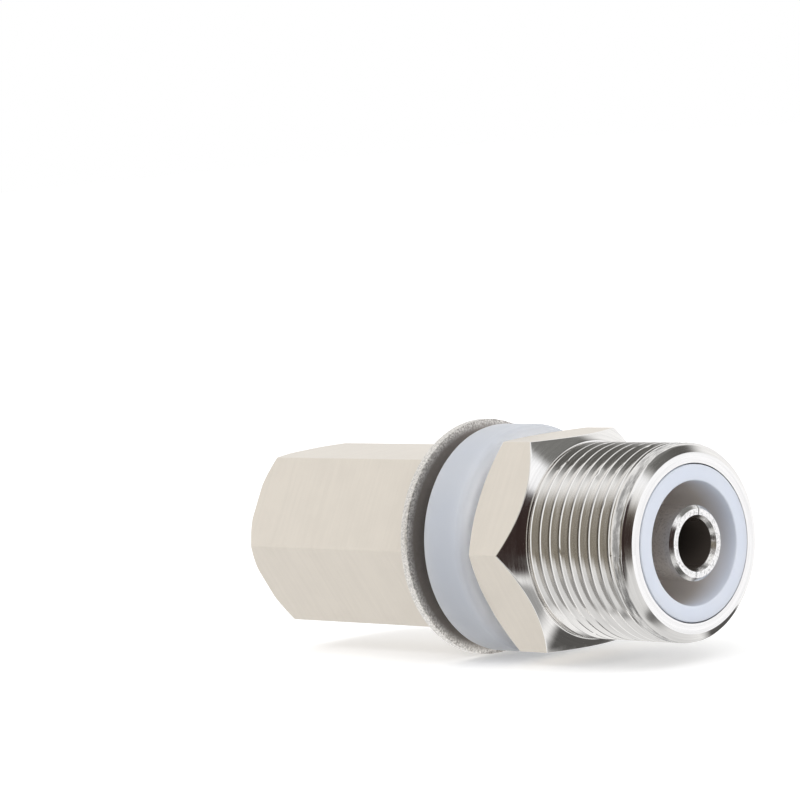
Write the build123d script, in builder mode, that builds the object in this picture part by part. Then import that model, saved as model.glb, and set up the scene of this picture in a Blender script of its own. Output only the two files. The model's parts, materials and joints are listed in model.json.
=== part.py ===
"""Coaxial adapter: threaded coaxial socket on a hexagon body, with an insulated antenna stud.

The adapter lies along X. The origin is the centre of the flange's face on the socket side,
where the threaded barrel starts. The socket opens towards +X and the long nut towards -X.
All sizes are in millimetres.
"""
import os
from math import radians, sqrt, tan

from build123d import *

# Hexagon body and barrel
flange_flats = 17.0
flange_length = 5.48
flange_rear_face_d = 17.05
flange_rear_chamfer = 31.0
flange_front_face_d = 16.02
flange_front_chamfer = 43.0
barrel_d = 15.8
barrel_length = 10.57
barrel_end_chamfer = 0.75
shell_bore_d = 12.64
lip_length = 1.5
lip_hole_d = 11.4

# White insulator inside the barrel
insulator_proud = 0.1
insulator_rim_bevel = 0.12
well_d = 9.86
well_depth = 7.0

# Contact
contact_proud = 0.35
contact_d = 6.0
contact_bevel = 0.28
contact_bore_d = 4.0
contact_bore_depth = 6.3
contact_mouth_bevel = 0.2
contact_stem_d = 3.0
slot_width = 0.2
slot_depth = 5.0
slot_roll = -10.0

# Stud and the bush that keeps it clear of the shell
stud_d = 9.5
stud_reach = 15.7
stud_end_chamfer = 0.7
stud_head_d = 10.6
stud_head_length = 1.5
stem_hole_depth = 4.0
stem_end_gap = 0.5
bush_length = 1.5

# Plastic shoulder washer
shoulder_d = 12.4
shoulder_length = 1.0
plastic_washer_d = 18.6
plastic_washer_length = 3.9
plastic_front_bevel = 0.3
plastic_rear_bevel = 0.2
plastic_washer_slack = 0.6

# Steel washer
steel_gap = 1.5
steel_washer_d = 19.4
steel_washer_length = 0.8
steel_washer_slack = 0.8
steel_edge_bevel = 0.12

# Long nut
nut_flats = 14.0
nut_length = 20.8
nut_face_d = 14.3
nut_chamfer_angle = 43.0
nut_roll = 1.8
nut_thread_clearance = 0.05
counterbore_d = 10.0
counterbore_depth = 1.2
thread_end_chamfer = 0.45
land_d = 8.6
land_length = 1.0
land_from_middle = 0.3
nut_seat_gap = 0.02

# How far a turning cut reaches past a hexagon's corners
turning_margin = 1.0

# Places along the axis
flange_rear = -flange_length
barrel_end = barrel_length
lip_front = flange_rear + lip_length
bush_front = lip_front + bush_length
head_front = bush_front + stud_head_length
insulator_face = barrel_end + insulator_proud
well_floor = insulator_face - well_depth
contact_face = barrel_end + contact_proud
plastic_front = flange_rear - shoulder_length
plastic_rear = plastic_front - plastic_washer_length
steel_front = plastic_rear - steel_gap
steel_rear = steel_front - steel_washer_length
nut_front = steel_rear - nut_seat_gap
nut_rear = nut_front - nut_length
land_front = (nut_front + nut_rear) / 2 - land_from_middle + land_length / 2
land_rear = land_front - land_length
stud_end = flange_rear - stud_reach


def turned(points, mode=Mode.ADD):
    """Revolves a closed outline of (place along the axis, radius) points about the adapter's axis."""
    with BuildSketch(Plane.XY) as outline:
        with BuildLine():
            Polyline(*points, close=True)
        make_face()
    revolve(outline.sketch, axis=Axis.X, mode=mode)


def hexagon_bar(flats, rear, front, roll=0.0):
    """Draws a hexagon across the axis and pulls it from rear to front. Its lowest flat is level."""
    with BuildSketch(Plane.YZ.offset(rear)) as section:
        RegularPolygon(radius=flats / 2, side_count=6, major_radius=False, rotation=roll)
    extrude(section.sketch, amount=front - rear)


def chamfered_ends(flats, rear, front, rear_face_d, rear_angle, front_face_d, front_angle):
    """Turns the corners of a hexagon bar down to a cone at each end, like a lathe tool."""
    reach = flats / sqrt(3) + turning_margin
    rear_depth = (reach - rear_face_d / 2) * tan(radians(rear_angle))
    front_depth = (reach - front_face_d / 2) * tan(radians(front_angle))
    turned(
        [
            (rear, 0),
            (rear, rear_face_d / 2),
            (rear + rear_depth, reach),
            (front - front_depth, reach),
            (front, front_face_d / 2),
            (front, 0),
        ],
        mode=Mode.INTERSECT,
    )


# Hexagon flange and barrel, turned from one bar
with BuildPart() as shell:
    hexagon_bar(flange_flats, flange_rear, 0)
    chamfered_ends(
        flange_flats,
        flange_rear,
        0,
        flange_rear_face_d,
        flange_rear_chamfer,
        flange_front_face_d,
        flange_front_chamfer,
    )
    with BuildSketch(Plane.YZ):
        Circle(barrel_d / 2)
    extrude(amount=barrel_length)
    end_edge = shell.edges().filter_by(GeomType.CIRCLE).group_by(Axis.X)[-1]
    chamfer(end_edge, barrel_end_chamfer)
    with BuildSketch(Plane.YZ.offset(flange_rear)):
        Circle(lip_hole_d / 2)
    extrude(amount=flange_length + barrel_length, mode=Mode.SUBTRACT)
    with BuildSketch(Plane.YZ.offset(lip_front)):
        Circle(shell_bore_d / 2)
    extrude(amount=barrel_end - lip_front, mode=Mode.SUBTRACT)
shell.part.label = "connector_shell"

# Bush: a collar inside the shell and a sleeve through its rear hole
with BuildPart() as bush:
    with BuildSketch(Plane.YZ.offset(lip_front)):
        Circle(shell_bore_d / 2)
    extrude(amount=bush_length)
    with BuildSketch(Plane.YZ.offset(flange_rear)):
        Circle(lip_hole_d / 2)
    extrude(amount=lip_length)
    with BuildSketch(Plane.YZ.offset(flange_rear)):
        Circle(stud_d / 2)
    extrude(amount=lip_length + bush_length, mode=Mode.SUBTRACT)
bush.part.label = "rear_bush"

# Stud: a rod with a head inside the shell and a blind hole for the contact's stem
with BuildPart() as stud:
    with BuildSketch(Plane.YZ.offset(stud_end)):
        Circle(stud_d / 2)
    extrude(amount=bush_front - stud_end)
    rod_end = stud.edges().filter_by(GeomType.CIRCLE).group_by(Axis.X)[0]
    chamfer(rod_end, stud_end_chamfer)
    with BuildSketch(Plane.YZ.offset(bush_front)):
        Circle(stud_head_d / 2)
    extrude(amount=stud_head_length)
    with BuildSketch(Plane.YZ.offset(head_front)):
        Circle(contact_stem_d / 2)
    extrude(amount=-stem_hole_depth, mode=Mode.SUBTRACT)
stud.part.label = "stud"

# Insulator: fills the barrel, with a well in front, a pocket for the stud's head and a hole for the stem
with BuildPart() as insulator:
    with BuildSketch(Plane.YZ.offset(bush_front)):
        Circle(shell_bore_d / 2)
    extrude(amount=insulator_face - bush_front)
    rim_edge = insulator.edges().filter_by(GeomType.CIRCLE).group_by(Axis.X)[-1]
    chamfer(rim_edge, insulator_rim_bevel)
    with BuildSketch(Plane.YZ.offset(bush_front)):
        Circle(stud_head_d / 2)
    extrude(amount=stud_head_length, mode=Mode.SUBTRACT)
    with BuildSketch(Plane.YZ.offset(head_front)):
        Circle(contact_stem_d / 2)
    extrude(amount=well_floor - head_front, mode=Mode.SUBTRACT)
    with BuildSketch(Plane.YZ.offset(well_floor)):
        Circle(well_d / 2)
    extrude(amount=well_depth, mode=Mode.SUBTRACT)
insulator.part.label = "dielectric"

# Contact: a tube that stands on the floor of the well, split by one saw cut, with a stem behind
with BuildPart() as contact:
    with BuildSketch(Plane.YZ.offset(well_floor)):
        Circle(contact_d / 2)
    extrude(amount=contact_face - well_floor)
    nose_edge = contact.edges().filter_by(GeomType.CIRCLE).group_by(Axis.X)[-1]
    chamfer(nose_edge, contact_bevel)
    with BuildSketch(Plane.YZ.offset(head_front - stem_hole_depth + stem_end_gap)) as stem:
        Circle(contact_stem_d / 2)
    extrude(stem.sketch, amount=well_floor - head_front + stem_hole_depth - stem_end_gap)
    with BuildSketch(Plane.YZ.offset(contact_face)):
        Circle(contact_bore_d / 2)
    extrude(amount=-contact_bore_depth, mode=Mode.SUBTRACT)
    mouth_edge = contact.edges().filter_by(GeomType.CIRCLE).group_by(Axis.X)[-1].sort_by(SortBy.RADIUS)[0]
    chamfer(mouth_edge, contact_mouth_bevel)
    with BuildSketch(Plane.YZ.offset(contact_face)):
        Rectangle(slot_width, 2 * contact_d, rotation=slot_roll)
    extrude(amount=-slot_depth, mode=Mode.SUBTRACT)
contact.part.label = "centre_contact"

# Plastic washer: a thick disc with eased edges and a low shoulder that meets the flange
with BuildPart() as plastic_washer:
    with BuildSketch(Plane.YZ.offset(plastic_rear)):
        Circle(plastic_washer_d / 2)
    extrude(amount=plastic_washer_length)
    disc_edges = plastic_washer.edges().filter_by(GeomType.CIRCLE).sort_by(Axis.X)
    chamfer(disc_edges[0], plastic_rear_bevel)
    chamfer(disc_edges[-1], plastic_front_bevel)
    with BuildSketch(Plane.YZ.offset(plastic_front)):
        Circle(shoulder_d / 2)
    extrude(amount=shoulder_length)
    with BuildSketch(Plane.YZ.offset(plastic_rear)):
        Circle(stud_d / 2 + plastic_washer_slack / 2)
    extrude(amount=plastic_washer_length + shoulder_length, mode=Mode.SUBTRACT)
plastic_washer.part.label = "shoulder_washer"

# Steel washer: stamped, so only the edge towards the nut is eased
with BuildPart() as steel_washer:
    with BuildSketch(Plane.YZ.offset(steel_rear)):
        Circle(steel_washer_d / 2)
    extrude(amount=steel_washer_length)
    stamped_edge = steel_washer.edges().filter_by(GeomType.CIRCLE).group_by(Axis.X)[0]
    chamfer(stamped_edge, steel_edge_bevel)
    with BuildSketch(Plane.YZ.offset(steel_rear)):
        Circle(stud_d / 2 + steel_washer_slack / 2)
    extrude(amount=steel_washer_length, mode=Mode.SUBTRACT)
steel_washer.part.label = "flat_washer"

# Nut: a hexagon bar with both ends turned, tapped from each end to a land in the middle
thread_hole_d = stud_d + 2 * nut_thread_clearance
thread_start = nut_rear + counterbore_depth
with BuildPart() as nut:
    hexagon_bar(nut_flats, nut_rear, nut_front, roll=nut_roll)
    chamfered_ends(
        nut_flats, nut_rear, nut_front, nut_face_d, nut_chamfer_angle, nut_face_d, nut_chamfer_angle
    )
    with BuildSketch(Plane.YZ.offset(nut_rear)):
        Circle(land_d / 2)
    extrude(amount=nut_length, mode=Mode.SUBTRACT)
    with BuildSketch(Plane.YZ.offset(nut_rear)):
        Circle(thread_hole_d / 2)
    extrude(amount=land_rear - nut_rear, mode=Mode.SUBTRACT)
    with BuildSketch(Plane.YZ.offset(land_front)):
        Circle(thread_hole_d / 2)
    extrude(amount=nut_front - land_front, mode=Mode.SUBTRACT)
    entry_edge = nut.edges().filter_by(GeomType.CIRCLE).group_by(Axis.X)[-1].sort_by(SortBy.RADIUS)[0]
    chamfer(entry_edge, thread_end_chamfer)
    with BuildSketch(Plane.YZ.offset(nut_rear)):
        Circle(counterbore_d / 2)
    extrude(amount=counterbore_depth, mode=Mode.SUBTRACT)
nut.part.label = "coupling_nut"

os.makedirs("parts", exist_ok=True)
export_step(shell.part, "parts/connector_shell.step")
export_step(bush.part, "parts/rear_bush.step")
export_step(stud.part, "parts/stud.step")
export_step(insulator.part, "parts/dielectric.step")
export_step(contact.part, "parts/centre_contact.step")
export_step(plastic_washer.part, "parts/shoulder_washer.step")
export_step(steel_washer.part, "parts/flat_washer.step")
export_step(nut.part, "parts/coupling_nut.step")
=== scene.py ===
"""Coaxial adapter: threads, edges, finishes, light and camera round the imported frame."""

import bmesh
import bpy
import json
from math import atan2, cos, floor, log, pi, radians, sin, sqrt, tan
from mathutils import Matrix, Vector, noise


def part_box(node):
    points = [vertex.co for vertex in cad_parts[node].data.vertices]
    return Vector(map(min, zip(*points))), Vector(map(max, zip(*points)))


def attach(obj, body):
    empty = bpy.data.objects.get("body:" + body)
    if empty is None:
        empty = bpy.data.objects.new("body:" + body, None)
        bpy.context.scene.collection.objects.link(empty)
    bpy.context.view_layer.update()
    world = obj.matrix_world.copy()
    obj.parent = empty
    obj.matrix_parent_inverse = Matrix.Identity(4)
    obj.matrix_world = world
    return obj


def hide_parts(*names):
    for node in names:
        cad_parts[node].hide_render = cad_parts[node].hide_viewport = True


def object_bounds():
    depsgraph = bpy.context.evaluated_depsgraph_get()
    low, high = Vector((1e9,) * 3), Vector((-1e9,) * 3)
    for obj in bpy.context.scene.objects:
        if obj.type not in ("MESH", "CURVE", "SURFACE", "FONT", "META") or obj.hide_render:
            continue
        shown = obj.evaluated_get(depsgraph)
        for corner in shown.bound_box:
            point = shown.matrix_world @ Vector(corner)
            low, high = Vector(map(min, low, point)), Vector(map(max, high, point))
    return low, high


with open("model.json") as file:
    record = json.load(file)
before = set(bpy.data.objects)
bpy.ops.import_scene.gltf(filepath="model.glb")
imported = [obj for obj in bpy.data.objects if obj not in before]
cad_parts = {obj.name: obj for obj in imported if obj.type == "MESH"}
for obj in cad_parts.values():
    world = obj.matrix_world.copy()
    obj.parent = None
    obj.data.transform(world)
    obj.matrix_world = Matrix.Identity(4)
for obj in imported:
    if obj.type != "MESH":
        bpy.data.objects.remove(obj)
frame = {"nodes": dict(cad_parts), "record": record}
cad_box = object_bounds()

MM = 0.001

# Threads: 24 turns to the inch, with sixty degrees between the flanks, in millimetres
PITCH = 25.4 / 24
FLANK = radians(30)
CREST_HALF = PITCH / 16
CREST_EASE = 0.12
BARREL_DEPTH = 0.58
BARREL_PHASE = -0.13
BARREL_END_FINER = 3
STUD_DEPTH = 0.55
STUD_PHASE = 0.0
THREAD_CLEARANCE = 0.045
ROOT_ROUND = 0.11
NUT_ROOT_ROUND = 0.03
LAND_R = 4.3
LAND_LENGTH = 1.0
LAND_FROM_MIDDLE = 0.3
# Nicks in the barrel's thread, and how fast they change along it and round it
NICK_DEPTH = 0.09
NICK_RARE = 0.52
NICK_STEEP = 3
NICK_SCALES = (1.7, 1.1)

# Hexagons: where rows run, as multiples of the round edge of the ends. The last two are the
# least distance of the first ridge row from the end, and how much that grows from row to row
EDGE_SHARES = (0, 0.08, 0.3, 0.62, 1)
RIDGE_STEPS = (-2.4, -1.2, -0.6, -0.25, 0, 0.25, 0.6, 1.2, 2.4)
RIDGE_BLEND = 1.2
RIDGE_LEAST = (1.05, 0.05)
# Where columns run from a corner, in degrees
CORNER_DEGREES = (0.18, 0.36, 0.55, 0.9, 1.6)
FLAT_DEGREES = range(3, 58, 3)

# Forms that the frame's boxes and mounts don't give, in millimetres and degrees
FLANGE_FLATS = 17.0
FLANGE_REAR_CONE = (8.525, 31.0)
FLANGE_FRONT_CONE = (8.01, 43.0)
FLANGE_CORNER = 0.12
FLANGE_EDGE = 0.05
SHELL_BORE_R = 6.32
LIP_HOLE_R = 5.7
LIP_LENGTH = 1.5
GROOVE_R = 7.82
GROOVE_WIDTH = 0.05
COLLAR_END = 0.16
COLLAR_R = 7.86
BARREL_END_R = 7.15
BARREL_END_SLOPE = 1.4
BARREL_END_ROUND = 0.25
LAST_CREST = 8.57
LAST_GROOVE_FADES = 75
LAND_WEAR = 0.03
LAND_WEAR_LEAST = 0.6
NUT_FLATS = 14.0
NUT_ROLL = 1.8
NUT_CONE = (7.15, 43.0)
NUT_CORNER = 0.14
NUT_EDGE = 0.05
NUT_ENTRY = 0.45
COUNTERBORE_R = 5.0
COUNTERBORE_DEPTH = 1.2
STUD_R = 4.75
STUD_END_CHAMFER = 0.7
STUD_HEAD_R = 5.3
STUD_HEAD_LENGTH = 1.5
STEM_R = 1.5
STEM_HOLE_DEPTH = 4.0
CONTACT_BEVEL = 0.27
CONTACT_BORE_R = 2.0
CONTACT_BORE_DEPTH = 6.3
CONTACT_MOUTH = (0.34, 0.24)
SLOT_WIDTHS = (0.1, 0.04)
SLOT_DEPTH = 5.0
SLOT_ROLL = -10
INSULATOR_GAP = 0.1
INSULATOR_GAP_DEPTH = 1.2
INSULATOR_RIM_ROUND = 0.1
WELL_R = 4.93
WELL_DEPTH = 7.0
WELL_RIM_ROUND = 0.12
WELL_FOOT_ROUND = 0.3
SHOULDER_R = 6.2
SHOULDER_LENGTH = 1.0
SHOULDER_FOOT_ROUND = 0.12
SHOULDER_EDGE_ROUND = 0.1
PLASTIC_HOLE_R = 5.05
PLASTIC_REAR_ROUND = 0.22
PLASTIC_FRONT_ROUND = 0.4
STEEL_HOLE_R = 5.15
STEEL_HOLE_EDGE = 0.05
STEEL_ROUND = 0.2

# Rows of the steel washer's torn edge: how far back from its face, and how far in from its rim
TORN_ROWS = ((0.4, 0), (0.28, 0), (0.16, 0.01), (0.06, 0.03))
# Layers of noise, each a height and a scale
TORN_NOISE = ((0.07, 1.6), (0.05, 4.3))
WEAR_NOISE = ((1, 2.3), (0.6, 6))

# Columns round each turned piece, the degrees from which an edge is crisp, and how near corners join
STUD_SIDES = 120
CONTACT_SIDES = 144
INSULATOR_SIDES = 150
PLASTIC_SIDES = 180
STEEL_SIDES = 480
CRISP = 35
CONTACT_CRISP = 25
JOIN = 2e-4


def span(node):
    """Where a CAD node starts and ends along the adapter, in millimetres."""
    low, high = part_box(node)
    return low.x / MM, high.x / MM


def outer_radius(node):
    """Half the height of a round CAD node, in millimetres."""
    low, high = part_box(node)
    return (high.z - low.z) / 2 / MM


def mount_radius(name):
    """A round mount's radius, in millimetres."""
    return next(mount["dims"]["r_mm"] for mount in frame["record"]["mounts"] if mount["name"] == name)


BARREL_R = mount_radius("barrel_thread")
NUT_THREAD_R = mount_radius("antenna_thread")


# Meshes
def even_angles(count):
    """Angles round the axis at equal steps."""
    return [2 * pi * index / count for index in range(count)]


def hexagon_angles(roll):
    """Angles round the axis, crowded at a hexagon's corners."""
    offsets = [0, *CORNER_DEGREES, *(-offset for offset in CORNER_DEGREES), *FLAT_DEGREES]
    angles = [radians(60 * corner + offset + roll) for corner in range(6) for offset in offsets]
    return sorted(angle % (2 * pi) for angle in angles)


def hexagon_radius(angle, flats, corner_r, roll):
    """Distance from the axis to a hexagon with rounded corners.

    At no roll a corner points along +Y."""
    half = flats / 2
    turn = abs((angle - radians(roll) + pi / 6) % (pi / 3) - pi / 6)
    centre = (half - corner_r) / cos(pi / 6)
    tangent = atan2(corner_r / 2, centre + corner_r * cos(pi / 6))
    if turn < tangent:
        return centre * cos(turn) + sqrt(corner_r**2 - (centre * sin(turn)) ** 2)
    return half / cos(pi / 6 - turn)


def soft_min(a, b, width):
    """The smaller of two values, with the change from one to the other rounded over a width."""
    overlap = max(width - abs(a - b), 0) / width
    return min(a, b) - overlap * overlap * width / 4


def edge_round(distance, radius):
    """How far a rounded edge draws back at a distance from the end face."""
    if distance >= radius:
        return 0
    return radius - sqrt(radius**2 - (radius - distance) ** 2)


def hexagon_rows(angles, rear, front, flats, roll, corner_r, edge_r, rear_cone, front_cone):
    """Rows of (place, radius) over a hexagon whose ends are turned down to cones.

    A cone is its radius at the end face and its angle. The rows follow the ridges where
    the flats meet the cones."""
    width = RIDGE_BLEND * edge_r

    def surface(angle, x):
        flat = hexagon_radius(angle, flats, corner_r, roll)
        rear_r = rear_cone[0] + (x - rear) / tan(radians(rear_cone[1]))
        front_r = front_cone[0] + (front - x) / tan(radians(front_cone[1]))
        body = soft_min(soft_min(flat, rear_r, width), front_r, width)
        return x, body - edge_round(x - rear, edge_r) - edge_round(front - x, edge_r)

    def ridge(angle, cone):
        flat = hexagon_radius(angle, flats, corner_r, roll)
        return max(flat - cone[0], 0) * tan(radians(cone[1]))

    def from_end(index, angle, cone):
        least = edge_r * (RIDGE_LEAST[0] + RIDGE_LEAST[1] * index)
        return max(ridge(angle, cone) + RIDGE_STEPS[index] * edge_r, least)

    order = range(len(RIDGE_STEPS))
    rows = [[surface(angle, rear + share * edge_r) for angle in angles] for share in EDGE_SHARES]
    for index in order:
        rows.append([surface(angle, rear + from_end(index, angle, rear_cone)) for angle in angles])
    for index in reversed(order):
        rows.append([surface(angle, front - from_end(index, angle, front_cone)) for angle in angles])
    for share in reversed(EDGE_SHARES):
        rows.append([surface(angle, front - share * edge_r) for angle in angles])
    return rows


def plain_rows(angles, points):
    """Rows of a turned surface: the same place and radius at every angle."""
    return [[point] * len(angles) for point in points]


def thread_profile(crest_half, depth, root_round):
    """Knots over one pitch from a crest's middle: place, and depth below the crest.

    The crest's edges are crisp. The root is rounded over a length on each side of its corner."""
    foot = crest_half + depth * tan(FLANK)
    flank_end = (foot - root_round * sin(FLANK), depth - root_round * cos(FLANK))
    root_start = (foot + root_round, depth)
    bend = tuple((a + 2 * b + c) / 4 for a, b, c in zip(flank_end, (foot, depth), root_start))
    above = tuple(a + CREST_EASE * (b - a) for a, b in zip(flank_end, (crest_half, 0)))
    knots = [(0, 0), (crest_half, 0), above, flank_end, bend, root_start]
    return knots + [(PITCH - place, below) for place, below in reversed(knots[1:])]


def denser(knots, count):
    """The same profile with more knots: each step is cut into a count of equal steps."""
    finer = []
    for start, end in zip(knots, knots[1:] + [(PITCH, 0)]):
        finer += [tuple(a + (b - a) * part / count for a, b in zip(start, end)) for part in range(count)]
    return finer


def below_crest(x, angle, knots, phase):
    """How far a right-hand thread's surface lies below its crest."""
    place = (x - phase - PITCH * angle / (2 * pi)) % PITCH
    for (start, low), (end, high) in zip(knots, knots[1:] + [(PITCH, 0)]):
        if start <= place <= end:
            return low + (high - low) * (place - start) / (end - start)
    return 0


def helix_rows(angles, start, end, knots, phase, surface):
    """Rows that follow a right-hand helix.

    surface gives the radius from the place, the depth below the crest and the angle."""
    turns = range(floor((start - phase) / PITCH) - 2, floor((end - phase) / PITCH) + 3)
    rows = []
    for place in [PITCH * turn + knot[0] + phase for turn in turns for knot in knots]:
        row = []
        for angle in angles:
            x = min(max(place + PITCH * angle / (2 * pi), start), end)
            row.append((x, surface(x, below_crest(x, angle, knots, phase), angle)))
        rows.append(row)
    return rows


def nick(x, angle, radius):
    """How deep a small knock in an edge is, in millimetres. Most places have none."""
    along, around = NICK_SCALES
    spot = Vector((along * x, around * radius * cos(angle), around * radius * sin(angle)))
    height = max(noise.noise(spot) - NICK_RARE, 0) / (1 - NICK_RARE)
    return NICK_DEPTH * min(height * NICK_STEEP, 1)


def layered_noise(spot, layers):
    """Noise at a place, added up over its layers."""
    return sum(height * noise.noise(spot * scale) for height, scale in layers)


def ring_mesh(angles, sections):
    """Joins rows round the axis into one closed surface.

    A section is its rows and how many of them a thread climbs in a turn."""
    mesh = bmesh.new()
    columns = [[] for _ in angles]
    after_turn = []
    for rows, climb in sections:
        first = len(after_turn)
        last = first + len(rows) - 1
        for index, row in enumerate(rows):
            after_turn.append(min(max(first + index + climb, first), last))
            for column, angle, (x, r) in zip(columns, angles, row):
                column.append(mesh.verts.new((x * MM, r * cos(angle) * MM, r * sin(angle) * MM)))
    count = len(after_turn)
    for index, column in enumerate(columns):
        wraps = index == len(columns) - 1
        beside = columns[0] if wraps else columns[index + 1]
        for row in range(count):
            up = (row + 1) % count
            here, there = (after_turn[row], after_turn[up]) if wraps else (row, up)
            corners = dict.fromkeys((column[row], column[up], beside[there], beside[here]))
            if len(corners) > 2:
                mesh.faces.new(corners)
    bmesh.ops.remove_doubles(mesh, verts=mesh.verts, dist=JOIN * MM)
    bmesh.ops.recalc_face_normals(mesh, faces=mesh.faces)
    return mesh


def arc_points(x, r, radius, start, end, steps=4):
    """Points of an arc in the half-plane of place and radius. Angles are from +x, in degrees."""
    turns = [radians(start + (end - start) * step / steps) for step in range(steps + 1)]
    return [(x + radius * cos(turn), r + radius * sin(turn)) for turn in turns]


def edge_arc(x, r, radius, along, out, *turn):
    """Points that round an edge.

    The arc's centre lies to the side of the edge that along and out give, each 1 or -1."""
    return arc_points(x + along * radius, r + out * radius, radius, *turn)


def stand_in(node, mesh, body, material):
    """Makes the mesh a piece that stands for a CAD node."""
    name = node + "_finished"
    data = bpy.data.meshes.new(name)
    mesh.to_mesh(data)
    mesh.free()
    data.shade_smooth()
    data.set_sharp_from_angle(angle=radians(CRISP))
    data.materials.append(material)
    piece = bpy.data.objects.new(name, data)
    bpy.context.scene.collection.objects.link(piece)
    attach(piece, body)
    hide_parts(node)
    return piece


def make_shell(material):
    """Hexagon flange and threaded barrel, turned in one piece."""
    rear, end = span("connector_shell")
    angles = hexagon_angles(0)
    knots = thread_profile(CREST_HALF, BARREL_DEPTH, ROOT_ROUND)
    finer = denser(knots, BARREL_END_FINER)
    lip = rear + LIP_LENGTH
    last_turns = end - 2 * PITCH

    def groove_share(x, angle):
        past = x - LAST_CREST - PITCH * angle / (2 * pi)
        if past <= 0:
            return 1
        return max(1 - angle / radians(LAST_GROOVE_FADES), 0) if past < PITCH else 0

    def surface(x, below, angle):
        share = groove_share(x, angle)
        spot = Vector((x, BARREL_R * cos(angle), BARREL_R * sin(angle)))
        wear = (1 - share) * LAND_WEAR * (layered_noise(spot, WEAR_NOISE) + LAND_WEAR_LEAST)
        body = BARREL_R - max(share * below, nick(x, angle, BARREL_R), wear)
        return soft_min(body, BARREL_END_R + BARREL_END_SLOPE * (end - x), BARREL_END_ROUND)

    cones = (FLANGE_REAR_CONE, FLANGE_FRONT_CONE)
    flange = hexagon_rows(angles, rear, 0, FLANGE_FLATS, 0, FLANGE_CORNER, FLANGE_EDGE, *cones)
    groove = [(0, GROOVE_R), (GROOVE_WIDTH, GROOVE_R)]
    collar = [(GROOVE_WIDTH, COLLAR_R), (COLLAR_END, COLLAR_R)]
    barrel = helix_rows(angles, COLLAR_END, last_turns, knots, BARREL_PHASE, surface)
    barrel_end = helix_rows(angles, last_turns, end, finer, BARREL_PHASE, surface)
    bore = [(end, SHELL_BORE_R), (lip, SHELL_BORE_R), (lip, LIP_HOLE_R), (rear, LIP_HOLE_R)]
    sections = [
        (flange, 0),
        (plain_rows(angles, groove + collar), 0),
        (barrel, len(knots)),
        (barrel_end, len(finer)),
        (plain_rows(angles, bore), 0),
    ]
    mesh = ring_mesh(angles, sections)
    return stand_in("connector_shell", mesh, "connector", material)


def make_nut(material):
    """Long nut: a turned hexagon outside, and inside a thread from each end, a land and a counterbore."""
    rear, front = span("coupling_nut")
    angles = hexagon_angles(NUT_ROLL)
    widening = THREAD_CLEARANCE / cos(FLANK)
    knots = thread_profile(CREST_HALF + widening, NUT_THREAD_R - LAND_R, NUT_ROOT_ROUND)
    thread_start = rear + COUNTERBORE_DEPTH
    land_rear = (rear + front) / 2 - LAND_FROM_MIDDLE - LAND_LENGTH / 2
    land_front = land_rear + LAND_LENGTH

    def surface(x, below, angle):
        return max(NUT_THREAD_R - below, NUT_THREAD_R + NUT_ENTRY - (front - x))

    cones = (NUT_CONE, NUT_CONE)
    outside = hexagon_rows(angles, rear, front, NUT_FLATS, NUT_ROLL, NUT_CORNER, NUT_EDGE, *cones)
    front_thread = helix_rows(angles, land_front, front, knots, STUD_PHASE, surface)
    rear_thread = helix_rows(angles, thread_start, land_rear, knots, STUD_PHASE, surface)
    land = [(land_front, LAND_R), (land_rear, LAND_R)]
    mouth = [(thread_start, COUNTERBORE_R), (rear, COUNTERBORE_R)]
    sections = [
        (outside, 0),
        (front_thread[::-1], -len(knots)),
        (plain_rows(angles, land), 0),
        (rear_thread[::-1], -len(knots)),
        (plain_rows(angles, mouth), 0),
    ]
    mesh = ring_mesh(angles, sections)
    return stand_in("coupling_nut", mesh, "coupling_nut", material)


def make_stud(material):
    """Threaded rod with a head and a blind hole for the contact's stem."""
    end, face = span("stud")
    angles = even_angles(STUD_SIDES)
    knots = thread_profile(CREST_HALF, STUD_DEPTH, ROOT_ROUND)
    seat = face - STUD_HEAD_LENGTH

    def surface(x, below, angle):
        return min(STUD_R - below, STUD_R - STUD_END_CHAMFER + x - end)

    rod = helix_rows(angles, end, seat, knots, STUD_PHASE, surface)
    head = [(seat, STUD_HEAD_R), (face, STUD_HEAD_R), (face, STEM_R)]
    hole = [(face - STEM_HOLE_DEPTH, STEM_R), (face - STEM_HOLE_DEPTH, 0)]
    sections = [
        (plain_rows(angles, [(end, 0)]), 0),
        (rod, len(knots)),
        (plain_rows(angles, head + hole), 0),
    ]
    mesh = ring_mesh(angles, sections)
    return stand_in("stud", mesh, "connector", material)


def make_insulator(material):
    """White insulator with a well round the contact."""
    rear, face = span("dielectric")
    rim = outer_radius("dielectric")
    angles = even_angles(INSULATOR_SIDES)
    floor_x = face - WELL_DEPTH
    pocket = rear + STUD_HEAD_LENGTH
    step = face - INSULATOR_GAP_DEPTH
    front_r = SHELL_BORE_R - INSULATOR_GAP
    side = [(rear, rim), (step, rim), (step, front_r)]
    front_rim = edge_arc(face, front_r, INSULATOR_RIM_ROUND, -1, -1, 90, 0)
    well_rim = edge_arc(face, WELL_R, WELL_RIM_ROUND, -1, 1, 0, -90)
    well_foot = edge_arc(floor_x, WELL_R, WELL_FOOT_ROUND, 1, -1, 90, 180)
    stem_hole = [(floor_x, STEM_R), (pocket, STEM_R), (pocket, STUD_HEAD_R), (rear, STUD_HEAD_R)]
    points = side + front_rim + well_rim + well_foot + stem_hole
    mesh = ring_mesh(angles, [(plain_rows(angles, points), 0)])
    return stand_in("dielectric", mesh, "connector", material)


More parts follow.
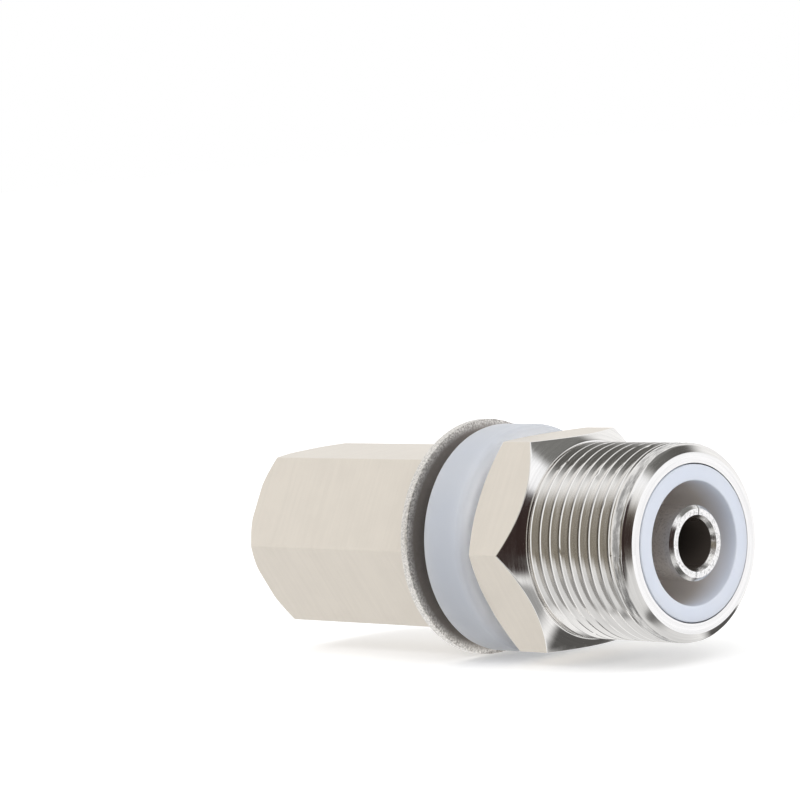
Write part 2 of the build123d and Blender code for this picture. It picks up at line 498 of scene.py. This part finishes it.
def slot_cutter(face):
    """Thin wedge for the contact's two slots: wide above and nearly closed below."""
    reach = 2 * outer_radius("centre_contact")
    turn = Matrix.Rotation(radians(SLOT_ROLL), 3, "X")
    corners = []
    for x in (face - SLOT_DEPTH, face + 1):
        for side, width in zip((1, -1), SLOT_WIDTHS):
            corners += [turn @ Vector((x, across, side * reach)) * MM for across in (-width / 2, width / 2)]
    sides = [(0, 1, 3, 2), (4, 6, 7, 5), (0, 2, 6, 4), (1, 5, 7, 3), (0, 4, 5, 1), (2, 3, 7, 6)]
    data = bpy.data.meshes.new("slot_cutter")
    data.from_pydata(corners, [], sides)
    cutter = bpy.data.objects.new("slot_cutter", data)
    bpy.context.scene.collection.objects.link(cutter)
    return cutter


def make_contact(material):
    """Turned contact with bevels, a blind bore and two fine slots."""
    rear, face = span("centre_contact")
    outer = outer_radius("centre_contact")
    angles = even_angles(CONTACT_SIDES)
    shoulder = span("dielectric")[1] - WELL_DEPTH
    floor_x = face - CONTACT_BORE_DEPTH
    mouth_length, mouth_rise = CONTACT_MOUTH
    stem = [(rear, 0), (rear, STEM_R), (shoulder, STEM_R), (shoulder, outer)]
    nose = [(face - CONTACT_BEVEL, outer), (face, outer - CONTACT_BEVEL)]
    mouth = [(face, CONTACT_BORE_R + mouth_rise), (face - mouth_length, CONTACT_BORE_R)]
    bottom = [(floor_x, CONTACT_BORE_R), (floor_x, 0)]
    mesh = ring_mesh(angles, [(plain_rows(angles, stem + nose + mouth + bottom), 0)])
    piece = stand_in("centre_contact", mesh, "connector", material)
    cutter = slot_cutter(face)
    cut = piece.modifiers.new("slots", "BOOLEAN")
    cut.solver = "EXACT"
    cut.object = cutter
    shape = piece.evaluated_get(bpy.context.evaluated_depsgraph_get())
    whole = piece.data
    piece.data = bpy.data.meshes.new_from_object(shape)
    piece.data.set_sharp_from_angle(angle=radians(CONTACT_CRISP))
    piece.modifiers.clear()
    bpy.data.meshes.remove(whole)
    bpy.data.objects.remove(cutter)
    return piece


def make_plastic_washer(material):
    """Thick plastic washer with soft edges and a low shoulder."""
    rear, tip = span("shoulder_washer")
    rim = outer_radius("shoulder_washer")
    angles = even_angles(PLASTIC_SIDES)
    front = tip - SHOULDER_LENGTH
    rear_edge = edge_arc(rear, rim, PLASTIC_REAR_ROUND, 1, -1, 180, 90)
    front_edge = edge_arc(front, rim, PLASTIC_FRONT_ROUND, -1, -1, 90, 0, 6)
    shoulder_foot = edge_arc(front, SHOULDER_R, SHOULDER_FOOT_ROUND, 1, 1, 180, 270)
    shoulder_edge = edge_arc(tip, SHOULDER_R, SHOULDER_EDGE_ROUND, -1, -1, 90, 0)
    hole = [(tip, PLASTIC_HOLE_R), (rear, PLASTIC_HOLE_R)]
    points = rear_edge + front_edge + shoulder_foot + shoulder_edge + hole
    mesh = ring_mesh(angles, [(plain_rows(angles, points), 0)])
    return stand_in("shoulder_washer", mesh, "connector", material)


def make_steel_washer(material):
    """Stamped washer: rolled over on one edge, torn and uneven on the other."""
    rear, front = span("flat_washer")
    rim = outer_radius("flat_washer")
    angles = even_angles(STEEL_SIDES)

    def torn(x, r):
        spots = [Vector((x, rim * cos(angle), rim * sin(angle))) for angle in angles]
        return [(x, r - abs(layered_noise(spot, TORN_NOISE))) for spot in spots]

    rolled = edge_arc(rear, rim, STEEL_ROUND, 1, -1, 180, 90)
    sheared = [torn(front - back, rim - low) for back, low in TORN_ROWS]
    face = [
        (front, rim - STEEL_ROUND),
        (front, STEEL_HOLE_R + STEEL_HOLE_EDGE),
        (front - STEEL_HOLE_EDGE, STEEL_HOLE_R),
        (rear, STEEL_HOLE_R),
    ]
    rows = plain_rows(angles, rolled) + sheared + plain_rows(angles, face)
    mesh = ring_mesh(angles, [(rows, 0)])
    return stand_in("flat_washer", mesh, "clamp_washer", material)


# Materials: colours. The dark in the contact's bore, the steel washer's dark face, the warm tint down the
# well and the nylon face's pale colour are painted shade and light.
TURNED = (0.9, 0.885, 0.865)
FLATS = (0.713, 0.66, 0.586)
BORE_PAINTED_SHADE = (0.07, 0.058, 0.05)
STEEL_FACE_PAINTED_SHADE = (0.29, 0.26, 0.235)
STEEL_EDGE = (0.93, 0.9, 0.86)
INSULATOR = (0.68, 0.72, 0.81)
WELL_PAINTED_SHADE = (0.71, 0.665, 0.63)
NYLON = (0.47, 0.49, 0.53)
NYLON_FACE_PAINTED_LIGHT = (0.84, 0.855, 0.89)

# Shares of a metal's colour where it is tarnished, dull in scuffs, darkened in the thread's roots as
# painted shade, on the worn land or clouded
TARNISHED = 0.9
SCUFF_DULL_AND_ROOT_SHADE = 0.35
LAND_BRIGHT = 0.85
CLOUDED = 0.965
STUD_SHARE = 0.8
CONTACT_SHARE = 0.66
STEEL_DARKER = 0.9
STEEL_EDGE_DARKER = 0.6

# Shares of the roughness over the tool's lines, and what is added on the land and the flats
LINES_ROUGH = (0.6, 1.5)
LAND_ROUGHER = 0.12
FLATS_ROUGHER = 0.24
FLATS_METALLIC = 0.72
FLATS_RELIEF = 0.2

# Depths of relief, in millimetres
PLATED_RELIEF = 0.0015
STUD_RELIEF = 0.002
PLASTIC_RELIEF = 0.003
CONTACT_RELIEF = 0.004
STEEL_RELIEF = 0.012

# Places and radii where a finish, a painted shade or a painted light changes, and over what, in millimetres
SCUFFED_FROM = 9.1
SCUFFED_SOFT = 0.1
ROOTS_REACH = 0.14
FLATS_FROM = 0.1
BESIDE_BORE = 0.1
MOUTH_SOFT = 0.05
FACE_PAINTED_LIGHT_RADII = (8.3, 9.25)
WELL_SHADE_DEPTHS = (3.0, 0.4)
TORN_REACH = (0.8, 0.2)
RADIUS_SOFT = 0.02

# How far a surface leans along the axis, from 0 to 1, where a finish ends
LAND_LEANS = 0.5
FLATS_LEAN = 0.12
STEEL_EDGE_LEANS = 0.8
LEAN_SOFT = 0.05

# Noise over the object: scale, detail and roughness
FLAT_CLOUD = (0.35, 4.0, 0.55)
CONTACT_GRAIN = (5.0, 4.0, 0.7)
STEEL_GRAIN = (6.0, 6.0, 0.7)
STEEL_PATCHES = (2.2, 4.0, 0.6)
PLASTIC_CLOUD = (0.25, 3.0, 0.5)

# Noise that follows a lathe: how fast it changes along, out and around, then as above
TOOL_LINES = ((1.0, 1.0, 0.12), 9.0, 4.0, 0.6)
TARNISH = ((3.0, 3.0, 0.6), 1.0, 5.0, 0.65)
SCUFFS = ((1.6, 1.6, 4.0), 1.0, 5.0, 0.7)
MILLING = ((1.0, 0.2, 0.05), 2.6, 3.0, 0.6)
MOULD_LINES = ((0.6, 0.6, 0.2), 5.0, 3.0, 0.5)

# Where noise starts to show as a pattern and where it shows in full
MIDDLE = (0.3, 0.7)
TARNISH_SHOWS = (0.35, 0.6)
SCUFFS_SHOW = (0.4, 0.62)
MILLING_SHOWS = (0.16, 0.34)
CONTACT_SHOWS = (0.34, 0.5)
STEEL_SHOWS = (0.4, 0.62)
TORN_SHOWS = (0.4, 0.55)


def new_material(name, colour, metallic, roughness):
    """A material with its tree and shader."""
    material = bpy.data.materials.new(name)
    material.use_nodes = True
    shader = material.node_tree.nodes["Principled BSDF"]
    shader.inputs["Base Color"].default_value = (*colour, 1)
    shader.inputs["Metallic"].default_value = metallic
    shader.inputs["Roughness"].default_value = roughness
    return material, material.node_tree, shader


def vector_math(tree, operation, source, value=None):
    """A vector node's result. value is its second vector or its scale."""
    node = tree.nodes.new("ShaderNodeVectorMath")
    node.operation = operation
    tree.links.new(source, node.inputs[0])
    if operation == "SCALE":
        node.inputs["Scale"].default_value = value
    elif value is not None:
        node.inputs[1].default_value = value
    return node.outputs["Value" if operation == "LENGTH" else "Vector"]


def combined(tree, operation, first, second):
    """A maths node's result from two values."""
    node = tree.nodes.new("ShaderNodeMath")
    node.operation = operation
    tree.links.new(first, node.inputs[0])
    tree.links.new(second, node.inputs[1])
    return node.outputs[0]


def part_of(tree, vector, axis):
    """One part of a vector."""
    split = tree.nodes.new("ShaderNodeSeparateXYZ")
    tree.links.new(vector, split.inputs[0])
    return split.outputs[axis]


def object_place(tree):
    """The place on the piece, in millimetres."""
    spot = tree.nodes.new("ShaderNodeTexCoord")
    return vector_math(tree, "SCALE", spot.outputs["Object"], 1 / MM)


def axis_distance(tree):
    """The distance from the axis, in millimetres."""
    return vector_math(tree, "LENGTH", vector_math(tree, "MULTIPLY", object_place(tree), (0, 1, 1)))


def turned_place(tree, along, out, around):
    """Coordinates that follow a lathe: along the axis, out from it and around it."""
    spot = object_place(tree)
    turn = combined(tree, "ARCTAN2", part_of(tree, spot, "Z"), part_of(tree, spot, "Y"))
    join = tree.nodes.new("ShaderNodeCombineXYZ")
    for part, value in (("X", part_of(tree, spot, "X")), ("Y", axis_distance(tree)), ("Z", turn)):
        tree.links.new(value, join.inputs[part])
    return vector_math(tree, "MULTIPLY", join.outputs[0], (along, out, around))


def noise_value(tree, vector, scale, detail, roughness):
    """A noise texture's value."""
    texture = tree.nodes.new("ShaderNodeTexNoise")
    texture.inputs["Scale"].default_value = scale
    texture.inputs["Detail"].default_value = detail
    texture.inputs["Roughness"].default_value = roughness
    tree.links.new(vector, texture.inputs["Vector"])
    return texture.outputs["Fac"]


def object_noise(tree, pattern):
    """Noise over the object."""
    return noise_value(tree, object_place(tree), *pattern)


def turned_noise(tree, pattern):
    """Noise that follows a lathe."""
    speeds, *texture = pattern
    return noise_value(tree, turned_place(tree, *speeds), *texture)


def between(tree, value, low, high, source=MIDDLE):
    """Maps a value from a source range to a range from low to high."""
    ramp = tree.nodes.new("ShaderNodeMapRange")
    ramp.inputs["From Min"].default_value, ramp.inputs["From Max"].default_value = source
    ramp.inputs["To Min"].default_value = low
    ramp.inputs["To Max"].default_value = high
    tree.links.new(value, ramp.inputs["Value"])
    return ramp.outputs["Result"]


def mask(tree, value, none, full):
    """0 where a value is at none or short of it, 1 where it is at full or past it."""
    return between(tree, value, 0, 1, (none, full))


def levels(tree, share, low, high):
    """Goes from low to high as a share goes from 0 to 1."""
    return between(tree, share, low, high, (0, 1))


def tint(tree, value, dark, light):
    """Blends two colours, each a colour or another node's result, by a value."""
    mix = tree.nodes.new("ShaderNodeMix")
    mix.data_type = "RGBA"
    for name, colour in (("A", dark), ("B", light)):
        if isinstance(colour, tuple):
            mix.inputs[name].default_value = (*colour, 1)
        else:
            tree.links.new(colour, mix.inputs[name])
    tree.links.new(value, mix.inputs["Factor"])
    return mix.outputs["Result"]


def from_axis(tree, near, far):
    """0 nearer to the axis than one radius, 1 beyond another."""
    return mask(tree, axis_distance(tree), near, far)


def along_axis(tree, start, full):
    """0 before one place along the axis, 1 beyond another."""
    return mask(tree, part_of(tree, object_place(tree), "X"), start, full)


def beyond_radius(tree, radius):
    """1 further from the axis than a radius, 0 nearer."""
    return from_axis(tree, radius - RADIUS_SOFT, radius + RADIUS_SOFT)


def faces_outwards(tree, most):
    """1 where the surface faces out from the axis, 0 where it leans along it."""
    spot = tree.nodes.new("ShaderNodeTexCoord")
    leaning = vector_math(tree, "ABSOLUTE", spot.outputs["Normal"])
    return between(tree, part_of(tree, leaning, "X"), 1, 0, (most - LEAN_SOFT, most + LEAN_SOFT))


def scaled(colour, share):
    """A colour made darker or lighter."""
    return tuple(channel * share for channel in colour)


def relief(tree, shader, height, depth):
    """Gives the surface a fine relief, its depth in millimetres."""
    node = tree.nodes.new("ShaderNodeBump")
    node.inputs["Distance"].default_value = depth * MM
    tree.links.new(height, node.inputs["Height"])
    tree.links.new(node.outputs["Normal"], shader.inputs["Normal"])


def finish_so_far(material):
    """A material's tree, its shader, and what gives its colour."""
    tree = material.node_tree
    shader = tree.nodes["Principled BSDF"]
    return tree, shader, shader.inputs["Base Color"].links[0].from_socket


def plated_metal(name, turned, roughness, depth, flats=None, flats_r=0, scuffed=None, roots_r=0):
    """Plated metal with the tool's fine lines.

    Milled flats, outside a radius, may have a colour of their own. scuffed is a place along
    the axis: beyond it round surfaces are dull in spots, and before it the thread's roots,
    at a radius, are darkened as painted shade."""
    material, tree, shader = new_material(name, turned, metallic=1.0, roughness=roughness)
    lines = turned_noise(tree, TOOL_LINES)
    clear = mask(tree, turned_noise(tree, TARNISH), *TARNISH_SHOWS)
    colour = tint(tree, clear, scaled(turned, TARNISHED), turned)
    rough = between(tree, lines, *(roughness * share for share in LINES_ROUGH))
    height = lines
    if scuffed is not None:
        ahead = along_axis(tree, scuffed - SCUFFED_SOFT, scuffed + SCUFFED_SOFT)
        # Thread roots short of the scuffed place are darkened: painted shade.
        outside_root_shade = combined(tree, "MAXIMUM", from_axis(tree, roots_r, roots_r + ROOTS_REACH), ahead)
        colour = tint(tree, outside_root_shade, scaled(turned, SCUFF_DULL_AND_ROOT_SHADE), colour)
        land = combined(tree, "MULTIPLY", ahead, faces_outwards(tree, LAND_LEANS))
        spots = mask(tree, turned_noise(tree, SCUFFS), *SCUFFS_SHOW)
        mottled = tint(tree, spots, scaled(turned, SCUFF_DULL_AND_ROOT_SHADE), scaled(turned, LAND_BRIGHT))
        colour = tint(tree, land, colour, mottled)
        rough = combined(tree, "ADD", rough, levels(tree, land, 0, LAND_ROUGHER))
    if flats:
        outside = beyond_radius(tree, flats_r - FLATS_FROM)
        milled = combined(tree, "MULTIPLY", outside, faces_outwards(tree, FLATS_LEAN))
        streaks = combined(tree, "MULTIPLY", object_noise(tree, FLAT_CLOUD), turned_noise(tree, MILLING))
        clouded = tint(tree, mask(tree, streaks, *MILLING_SHOWS), scaled(flats, CLOUDED), flats)
        colour = tint(tree, milled, colour, clouded)
        rough = combined(tree, "ADD", rough, levels(tree, milled, 0, FLATS_ROUGHER))
        height = combined(tree, "MULTIPLY", lines, levels(tree, milled, 1, FLATS_RELIEF))
        tree.links.new(levels(tree, milled, 1, FLATS_METALLIC), shader.inputs["Metallic"])
    tree.links.new(colour, shader.inputs["Base Color"])
    tree.links.new(rough, shader.inputs["Roughness"])
    relief(tree, shader, height, depth)
    return material


def contact_nickel():
    """Bright turned metal with a fine grain, painted dark and not metallic inside the bore: painted shade.
    """
    material = plated_metal("contact_nickel", TURNED, roughness=0.18, depth=CONTACT_RELIEF)
    tree, shader, outside = finish_so_far(material)
    mouth = span("centre_contact")[1] - CONTACT_MOUTH[0]
    beside = beyond_radius(tree, CONTACT_BORE_R + BESIDE_BORE)
    # Outside the bore the nickel shows; inside it a dark, non-metal colour is painted shade.
    outside_painted_shade = combined(tree, "MAXIMUM", along_axis(tree, mouth - MOUTH_SOFT, mouth), beside)
    grain = mask(tree, object_noise(tree, CONTACT_GRAIN), *CONTACT_SHOWS)
    grained = tint(tree, grain, scaled(TURNED, CONTACT_SHARE), outside)
    tree.links.new(tint(tree, outside_painted_shade, BORE_PAINTED_SHADE, grained), shader.inputs["Base Color"])
    tree.links.new(outside_painted_shade, shader.inputs["Metallic"])
    return material


def stamped_steel():
    """Dull sheet steel with its face painted dark as shade, a brighter torn edge and a grainy surface."""
    material, tree, shader = new_material("washer_steel", STEEL_FACE_PAINTED_SHADE, metallic=1.0, roughness=0.4)
    rim = outer_radius("flat_washer")
    grain = object_noise(tree, STEEL_GRAIN)
    patches = between(tree, object_noise(tree, STEEL_PATCHES), 0, 1)
    # The face's dark colour is painted shade from the washers beside it; its patches are uneven tone.
    face = tint(tree, patches, scaled(STEEL_FACE_PAINTED_SHADE, STEEL_DARKER), STEEL_FACE_PAINTED_SHADE)
    speckle = mask(tree, grain, *STEEL_SHOWS)
    edge = tint(tree, speckle, scaled(STEEL_EDGE, STEEL_EDGE_DARKER), STEEL_EDGE)
    near_rim = from_axis(tree, *(rim - reach for reach in TORN_REACH))
    torn = combined(tree, "MULTIPLY", near_rim, between(tree, grain, 0.3, 0.9, TORN_SHOWS))
    outside_painted_shade = combined(tree, "MAXIMUM", faces_outwards(tree, STEEL_EDGE_LEANS), torn)
    tree.links.new(tint(tree, outside_painted_shade, face, edge), shader.inputs["Base Color"])
    tree.links.new(between(tree, grain, 0.28, 0.55), shader.inputs["Roughness"])
    relief(tree, shader, grain, STEEL_RELIEF)
    return material


def white_plastic(name, colour, roughness, scatter, reach):
    """Soft white plastic that lets light in over a reach, with faint turning lines."""
    material, tree, shader = new_material(name, colour, metallic=0.0, roughness=roughness)
    shader.inputs["Subsurface Weight"].default_value = scatter
    shader.inputs["Subsurface Radius"].default_value = (1.0, 1.0, 1.0)
    shader.inputs["Subsurface Scale"].default_value = reach * MM
    lines = turned_noise(tree, MOULD_LINES)
    cloud = between(tree, object_noise(tree, PLASTIC_CLOUD), 0, 1)
    cooler = (colour[0] * 0.97, colour[1] * 0.98, colour[2])
    rough = between(tree, lines, roughness - 0.05, roughness + 0.07)
    tree.links.new(tint(tree, cloud, cooler, colour), shader.inputs["Base Color"])
    tree.links.new(rough, shader.inputs["Roughness"])
    relief(tree, shader, lines, PLASTIC_RELIEF)
    return material


def washer_plastic():
    """White nylon, painted paler on its faces than on its rim: painted light against the shade beside the
    flange.
    """
    material = white_plastic("washer_plastic", NYLON, roughness=0.38, scatter=0.8, reach=4.0)
    tree, shader, outside = finish_so_far(material)
    # Nearer the axis than the rim the colour is paler: painted light.
    rim = from_axis(tree, *FACE_PAINTED_LIGHT_RADII)
    tree.links.new(tint(tree, rim, NYLON_FACE_PAINTED_LIGHT, outside), shader.inputs["Base Color"])
    return material


def insulator_plastic():
    """White plastic, painted warmer and duller down the well: painted shade."""
    material = white_plastic("insulator_plastic", INSULATOR, roughness=0.42, scatter=0.4, reach=1.6)
    tree, shader, outside = finish_so_far(material)
    face = span("dielectric")[1]
    # Deeper than a few millimetres down the well the colour turns warm: painted shade.
    upper = along_axis(tree, *(face - depth for depth in WELL_SHADE_DEPTHS))
    pale = combined(tree, "MAXIMUM", upper, beyond_radius(tree, WELL_R + BESIDE_BORE))
    tree.links.new(tint(tree, pale, WELL_PAINTED_SHADE, outside), shader.inputs["Base Color"])
    return material


# Light, floor and camera
WHITE = (1, 1, 1)
FLOOR_SIZE = 3.0
FLOOR_WHITE = (0.8, 0.8, 0.8)
FLOOR_GLOW = 0.38
WORLD_LIGHT = 0.8
AIM = Vector((-11.7, -9.24, 12.37)) * MM
DISTANCE = 335.45 * MM
AZIMUTH = 46.36
ELEVATION = 4.56
ROLL = -4.76
LENS = 187.4
CLIP_START = 10 * MM
FAR = 600 * MM
SCREEN_CENTRE = Vector((4, -6, 0)) * MM
SCREEN_LIFT = 0.3 * MM
TABLE_NEAR = 1.5
TABLE_STEP = 1.13
TABLE_STEPS = 50
TABLE_AZIMUTHS = range(-180, 184, 4)
DOME_AZIMUTHS = range(-60, 202, 2)
DOME_ELEVATIONS = range(-2, 82, 2)
ROOM = (0.27, 0.245, 0.2)
TABLE_GREY = (0.55, 0.54, 0.52)
LENS_DARK = (0.035, 0.022, 0.02)
DIM_CORNER = (0.11, 0.107, 0.1)
DIM_SKY = (0.2, 0.2, 0.193)
SKY = (1.08, 1.09, 1.12)
SHADE = (0.1, 0.097, 0.094)

# Each lamp is a name, a place and a size in metres, and a power in watts
LAMPS = [
    ("key", (-0.25, -0.35, 0.6), 0.5, 1.6),
    ("fill", (0.45, -0.1, 0.4), 0.4, 1.1),
]
# Each patch is a colour, its azimuths and its elevations, as low, high and fade, in degrees
DOME_PATCHES = [
    (ROOM, (-24, 20, 14), (-20, 56, 20)),
    (ROOM, (10, 96, 10), (-20, 27, 16)),
    (LENS_DARK, (34, 72, 7), (-20, 43, 14)),
    (SKY, (62, 98, 10), (38, 62, 8)),
    (DIM_CORNER, (102, 168, 20), (30, 54, 14)),
    (DIM_SKY, (95, 168, 14), (47, 76, 10)),
    (SKY, (112, 156, 12), (-20, 20, 8)),
]
# Each patch is a colour, its azimuths, and the distances in millimetres where it starts and is full
TABLE_PATCHES = [
    (TABLE_GREY, (-30, 24, 10), (4, 10)),
    (ROOM, (-30, 24, 10), (14, 50)),
    (ROOM, (50, 96, 8), (26, 110)),
    (scaled(TABLE_GREY, 0.85), (42, 66, 12), (5, 9)),
    (scaled(TABLE_GREY, 0.3), (42, 66, 12), (10, 26)),
    (LENS_DARK, (32, 47, 8), (12, 24)),
    (LENS_DARK, (44, 68, 8), (26, 80)),
    (SKY, (112, 156, 12), (14, 22)),
]
# Each place on the table is a colour, its ranges of x and y, and its fade, in millimetres. The SHADE places
# at the flange's foot, behind the barrel and past its end are painted shadow: the object's own shadow on
# the table, as metal shows it.
TABLE_PLACES = [
    (scaled(WHITE, 0.76), (6, 38), (-16, 2), 6),
    (scaled(WHITE, 0.38), (0, 9), (-18, -7), 3),
    (SHADE, (-1.5, 2.2), (-5, 4), 1.5),
    (SHADE, (-3, 15), (3.5, 14), 1.5),
    (SHADE, (13, 18.5), (-6, 5), 1.5),
]


def direction(azimuth, elevation):
    """Unit vector towards an azimuth, counted from -Y towards +X, and an elevation."""
    around = radians(azimuth)
    above = radians(elevation)
    return Vector((sin(around) * cos(above), -cos(around) * cos(above), sin(above)))


def seen_rays(tree):
    """1 for rays that see the background: from the camera, in a mirror or through glass."""
    path = tree.nodes.new("ShaderNodeLightPath")
    seen = combined(tree, "MAXIMUM", path.outputs["Is Camera Ray"], path.outputs["Is Glossy Ray"])
    return combined(tree, "MAXIMUM", seen, path.outputs["Is Transmission Ray"])


def make_world():
    """White where it is seen, and plain soft light elsewhere."""
    world = bpy.data.worlds.new("studio")
    world.use_nodes = True
    tree = world.node_tree
    back = tree.nodes["Background"]
    back.inputs["Color"].default_value = (*WHITE, 1)
    tree.links.new(levels(tree, seen_rays(tree), WORLD_LIGHT, 1.0), back.inputs["Strength"])
    bpy.context.scene.world = world


def make_floor(level):
    """Plain pale floor that keeps the object's shadow."""
    mesh = bmesh.new()
    bmesh.ops.create_grid(mesh, x_segments=1, y_segments=1, size=FLOOR_SIZE / 2)
    data = bpy.data.meshes.new("floor")
    mesh.to_mesh(data)
    mesh.free()
    plane = bpy.data.objects.new("floor", data)
    plane.location.z = level
    bpy.context.scene.collection.objects.link(plane)
    material, tree, shader = new_material("floor_white", FLOOR_WHITE, metallic=0.0, roughness=0.9)
    shader.inputs["Specular IOR Level"].default_value = 0
    shader.inputs["Emission Color"].default_value = (*WHITE, 1)
    tree.links.new(levels(tree, seen_rays(tree), 0, FLOOR_GLOW), shader.inputs["Emission Strength"])
    data.materials.append(material)


def make_lamp(name, place, size, power):
    """Soft square lamp that points at the origin."""
    light = bpy.data.lights.new(name, "AREA")
    light.size = size
    light.energy = power
    lamp = bpy.data.objects.new(name, light)
    lamp.location = place
    lamp.rotation_euler = (-Vector(place)).to_track_quat("-Z", "Y").to_euler()
    lamp.visible_glossy = False
    bpy.context.scene.collection.objects.link(lamp)


def blend(first, second, share):
    """A colour between two colours."""
    return tuple(a + (b - a) * share for a, b in zip(first, second))


def make_screen(name, rows):
    """Studio screen that only reflections show.

    Its rows hold corners, each a place and a colour."""
    data = bpy.data.meshes.new(name)
    across = len(rows[0])
    corners = [corner for row in rows for corner in row]
    starts = [row * across + column for row in range(len(rows) - 1) for column in range(across - 1)]
    quads = [(start, start + 1, start + across + 1, start + across) for start in starts]
    data.from_pydata([place for place, _ in corners], [], quads)
    shades = data.color_attributes.new("shade", "FLOAT_COLOR", "POINT")
    for item, (_, colour) in zip(shades.data, corners):
        item.color = (*colour, 1)
    screen = bpy.data.objects.new(name, data)
    screen.visible_camera = False
    screen.visible_shadow = False
    screen.visible_diffuse = False
    bpy.context.scene.collection.objects.link(screen)
    material, tree, shader = new_material(name, (0, 0, 0), metallic=0.0, roughness=1.0)
    shader.inputs["Specular IOR Level"].default_value = 0
    shader.inputs["Emission Strength"].default_value = 1
    shade = tree.nodes.new("ShaderNodeVertexColor")
    shade.layer_name = "shade"
    tree.links.new(shade.outputs["Color"], shader.inputs["Emission Color"])
    data.materials.append(material)


def smooth(share):
    """A share held between 0 and 1, with a soft start and end."""
    share = min(max(share, 0), 1)
    return share * share * (3 - 2 * share)


def soft_range(value, low, high, fade):
    """1 inside a range and 0 outside, with a smooth change over a length at each end."""
    inside = value - low if value < (low + high) / 2 else high - value
    return smooth(inside / fade + 0.5)


def dome_colour(azimuth, elevation):
    """What the studio shows in a direction."""
    colour = WHITE
    for shade, azimuths, elevations in DOME_PATCHES:
        share = soft_range(azimuth, *azimuths) * soft_range(elevation, *elevations)
        colour = blend(colour, shade, share)
    return colour


def table_colour(azimuth, distance, place):
    """What the table shows at a distance from the screens' centre, and near the object."""
    colour = WHITE
    for shade, azimuths, (start, full) in TABLE_PATCHES:
        share = smooth(log(distance / start) / log(full / start))
        colour = blend(colour, shade, share * soft_range(azimuth, *azimuths))
    for shade, across, deep, fade in TABLE_PLACES:
        share = soft_range(place.x / MM, *across, fade) * soft_range(place.y / MM, *deep, fade)
        colour = blend(colour, shade, share)
    return colour


def make_screens(level):
    """The studio as metal shows it.

    A dim room is in front, a dim corner behind, white above, and a white table below, with the object's
    shadow painted onto it."""

    def sky(azimuth, elevation):
        return direction(azimuth, elevation) * FAR, dome_colour(azimuth, elevation)

    def table(azimuth, distance):
        place = SCREEN_CENTRE + direction(azimuth, 0) * distance * MM
        place.z = level + SCREEN_LIFT
        return place, table_colour(azimuth, distance, place)

    distances = [TABLE_NEAR * TABLE_STEP**step for step in range(TABLE_STEPS)]
    dome_rows = [[sky(azimuth, high) for azimuth in DOME_AZIMUTHS] for high in DOME_ELEVATIONS]
    table_rows = [[table(azimuth, far) for azimuth in TABLE_AZIMUTHS] for far in distances]
    make_screen("dome_screen", dome_rows)
    make_screen("table_screen", table_rows)


def make_camera():
    """Camera at the photograph's angle."""
    back = direction(AZIMUTH, ELEVATION)
    level = Vector((cos(radians(AZIMUTH)), sin(radians(AZIMUTH)), 0))
    upright = Matrix((level, back.cross(level), back)).transposed()
    turn = Matrix.Rotation(radians(ROLL), 3, "Z")
    camera = bpy.data.objects.new("camera", bpy.data.cameras.new("camera"))
    camera.matrix_world = Matrix.Translation(AIM + back * DISTANCE) @ (upright @ turn).to_4x4()
    camera.data.lens = LENS
    camera.data.clip_start = CLIP_START
    bpy.context.scene.collection.objects.link(camera)
    bpy.context.scene.camera = camera


insulator_white = insulator_plastic()
shell_nickel = plated_metal(
    "shell_nickel",
    TURNED,
    roughness=0.13,
    depth=PLATED_RELIEF,
    flats=FLATS,
    flats_r=FLANGE_FLATS / 2,
    scuffed=SCUFFED_FROM,
    roots_r=BARREL_R - BARREL_DEPTH,
)
nut_nickel = plated_metal(
    "nut_nickel", TURNED, roughness=0.11, depth=PLATED_RELIEF, flats=FLATS, flats_r=NUT_FLATS / 2
)
stud_nickel = plated_metal("stud_nickel", scaled(TURNED, STUD_SHARE), roughness=0.15, depth=STUD_RELIEF)
make_shell(shell_nickel)
make_nut(nut_nickel)
make_stud(stud_nickel)
make_insulator(insulator_white)
make_contact(contact_nickel())
make_plastic_washer(washer_plastic())
make_steel_washer(stamped_steel())
frame["nodes"]["rear_bush"].data.materials[0] = insulator_white

floor_level = cad_box[0][2]
make_world()
make_floor(floor_level)
make_camera()
make_screens(floor_level)
for lamp in LAMPS:
    make_lamp(*lamp)

bpy.context.scene.view_settings.view_transform = "Standard"
